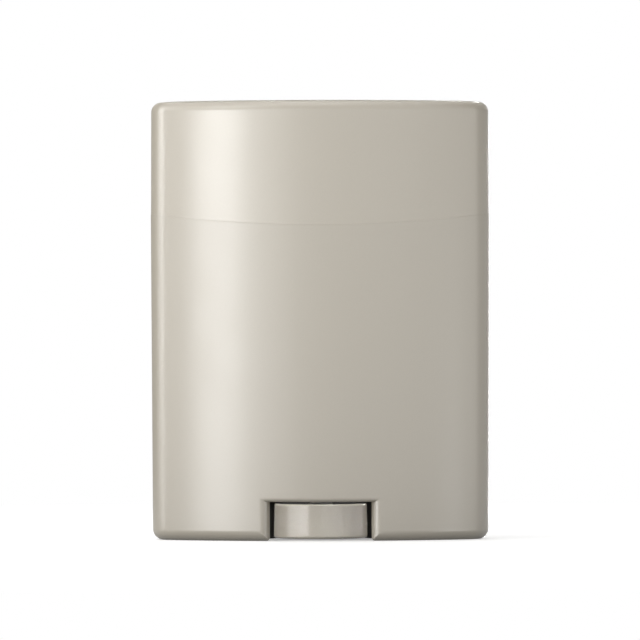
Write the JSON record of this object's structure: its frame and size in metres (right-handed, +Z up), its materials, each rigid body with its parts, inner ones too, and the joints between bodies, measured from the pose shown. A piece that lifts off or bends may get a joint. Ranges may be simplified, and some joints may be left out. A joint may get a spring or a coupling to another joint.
{
  "type": "sunscreen stick",
  "caption": "Flat oval twist-up sunscreen stick: lift-off cap over an inner sleeve, a notched case, and a knob whose lead screw raises the balm bar.",
  "frame": {"origin": "middle of the footprint, on the surface that the stick stands on", "axes": "+Z up through the cap and along the knob's axis; -Y out of the broad front face; +X to the right, along the width"},
  "size_m": [0.052, 0.023, 0.0673],
  "materials": {
    "cap_paint": "satin pearl paint on moulded plastic",
    "case_paint": "satin pearl paint on moulded plastic",
    "knob_plastic": "glossy pearl",
    "liner_plastic": "natural white, moulded",
    "sleeve_plastic": "white, moulded",
    "elevator_plastic": "natural white, moulded",
    "screw_plastic": "white, moulded",
    "seal_rubber": "matt",
    "balm": "waxy, slightly translucent"
  },
  "bodies": {
    "case": {"case_shell": "case_paint", "inner_sleeve": "sleeve_plastic"},
    "cap": {"cap_shell": "cap_paint", "cap_liner": "liner_plastic"},
    "dial": {"knob": "knob_plastic", "lead_screw": "screw_plastic", "screw_o_ring": "seal_rubber"},
    "carrier": {"elevator": "elevator_plastic", "balm_bar": "balm"}
  },
  "joints": [
    {"name": "cap_lift", "type": "slide", "parent": "case", "child": "cap", "axis": [0, 0, 1], "range_m": [0, 0.035]},
    {"name": "knob_turn", "type": "hinge", "parent": "case", "child": "dial", "pos_m": [0, 0, 0.0002], "axis": [0, 0, 1], "range_deg": [0, 1081]},
    {"name": "elevator_rise", "type": "slide", "parent": "case", "child": "carrier", "axis": [0, 0, 1], "range_m": [0, 0.009]}
  ],
  "couplings": [
    {"joint": "knob_turn", "follows": "elevator_rise", "rad_per_m": 2094.4}
  ]
}
